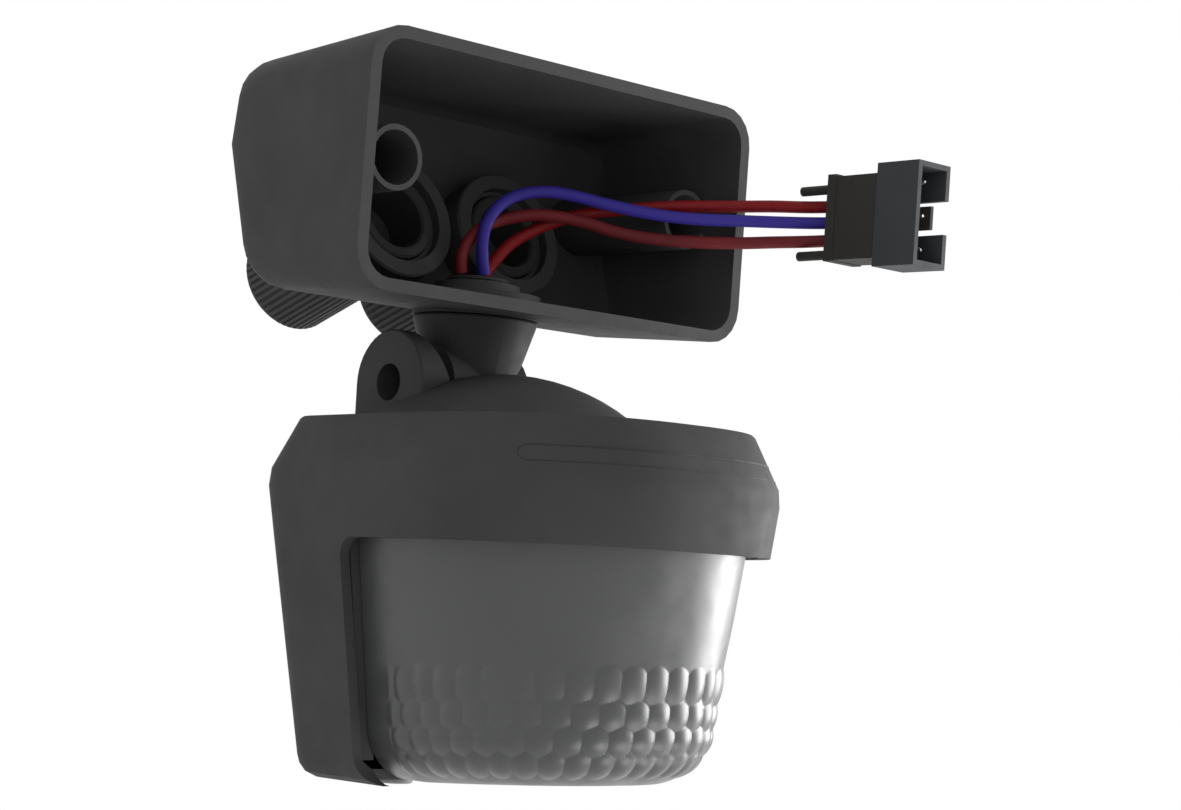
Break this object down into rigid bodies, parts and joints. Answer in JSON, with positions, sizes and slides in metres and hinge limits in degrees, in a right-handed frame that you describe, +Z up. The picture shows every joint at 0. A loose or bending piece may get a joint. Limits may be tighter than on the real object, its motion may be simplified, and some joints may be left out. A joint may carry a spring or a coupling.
{
  "type": "motion sensor",
  "caption": "Outdoor motion sensor: dark grey head with a wrap-round lens, tilting on a swivel neck under an open wiring housing with a wired plug.",
  "frame": {"origin": "on the housing's flat front rim, in the middle of the lower wall's thickness, at mid width", "axes": "-Y to the front, out of the housing's opening and the lens; +Z up; X across the width"},
  "size_m": [0.1227, 0.1318, 0.1564],
  "materials": {
    "housing_plastic": "fine matt dark grey",
    "lens_plastic": "translucent grey, satin",
    "rubber": "matt black",
    "bright_steel": "plain bright",
    "dark_steel": "blackened",
    "contact_metal": "tinned",
    "plug_plastic": "dark bluish grey, satin",
    "plug_insert_plastic": "dark warm grey, matt",
    "red_insulation": "dark red",
    "blue_insulation": "blue violet",
    "brown_insulation": "dark reddish brown",
    "board_laminate": "green laminate",
    "relay_plastic": "blue",
    "component_plastic": "black",
    "terminal_plastic": "light grey",
    "dial_plastic": "mid grey"
  },
  "bodies": {
    "housing": {"gland_body_left": "housing_plastic", "gland_body_right": "housing_plastic", "gland_clamp_ring_left": "housing_plastic", "gland_clamp_ring_right": "housing_plastic", "gland_seal_left": "rubber", "gland_seal_right": "rubber", "housing_shell": "housing_plastic", "plug_contact_lower": "contact_metal", "plug_contact_middle": "contact_metal", "plug_contact_upper": "contact_metal", "plug_insert": "plug_insert_plastic", "plug_latch": "plug_insert_plastic", "plug_shroud": "plug_plastic", "wire_blue": "blue_insulation", "wire_brown": "brown_insulation", "wire_red": "red_insulation"},
    "head": {"head_shell": "housing_plastic", "hinge_dome": "housing_plastic", "pivot_screw": "dark_steel", "pivot_pin": "dark_steel", "lens": "lens_plastic", "lens_frame": "housing_plastic", "bottom_cover": "housing_plastic", "cover_screw_left": "bright_steel", "cover_screw_right": "bright_steel", "cover_screw_front": "bright_steel", "main_board": "board_laminate", "relay": "relay_plastic", "capacitor": "component_plastic", "terminal_block": "terminal_plastic", "sensor_tower": "housing_plastic", "infrared_sensor_left": "bright_steel", "infrared_sensor_front": "bright_steel", "infrared_sensor_right": "bright_steel", "time_trimmer": "component_plastic", "light_trimmer": "component_plastic", "range_trimmer": "component_plastic"},
    "neck_body": {"neck": "housing_plastic", "neck_nut": "housing_plastic", "neck_seal": "rubber", "wire_grommet": "rubber"},
    "gland_cap_left_body": {"gland_cap_left": "housing_plastic"},
    "gland_cap_right_body": {"gland_cap_right": "housing_plastic"},
    "time_dial_body": {"time_dial": "dial_plastic"},
    "light_dial_body": {"light_dial": "dial_plastic"},
    "range_dial_body": {"range_dial": "dial_plastic"}
  },
  "joints": [
    {"name": "neck_pan", "type": "hinge", "parent": "housing", "child": "neck_body", "pos_m": [0, 0.028, 0], "axis": [0, 0, 1], "range_deg": [-90, 90]},
    {"name": "head_tilt", "type": "hinge", "parent": "neck_body", "child": "head", "pos_m": [0, 0.028, -0.01735], "axis": [1, 0, 0], "range_deg": [-12, 36]},
    {"name": "gland_left_turn", "type": "hinge", "parent": "housing", "child": "gland_cap_left_body", "pos_m": [-0.0162, 0.0375, 0.02105], "axis": [0, 0.9455, -0.3256], "range_deg": [-30, 30]},
    {"name": "gland_right_turn", "type": "hinge", "parent": "housing", "child": "gland_cap_right_body", "pos_m": [0.0162, 0.0375, 0.02105], "axis": [0, 0.9455, -0.3256], "range_deg": [-30, 30]},
    {"name": "time_dial_turn", "type": "hinge", "parent": "head", "child": "time_dial_body", "pos_m": [-0.017, 0.02348, -0.10215], "axis": [0, 0.0297, 0.9996], "range_deg": [-135, 135]},
    {"name": "light_dial_turn", "type": "hinge", "parent": "head", "child": "light_dial_body", "pos_m": [0, 0.02348, -0.10215], "axis": [0, 0.0297, 0.9996], "range_deg": [-135, 135]},
    {"name": "range_dial_turn", "type": "hinge", "parent": "head", "child": "range_dial_body", "pos_m": [0.017, 0.02348, -0.10215], "axis": [0, 0.0297, 0.9996], "range_deg": [-135, 135]}
  ]
}
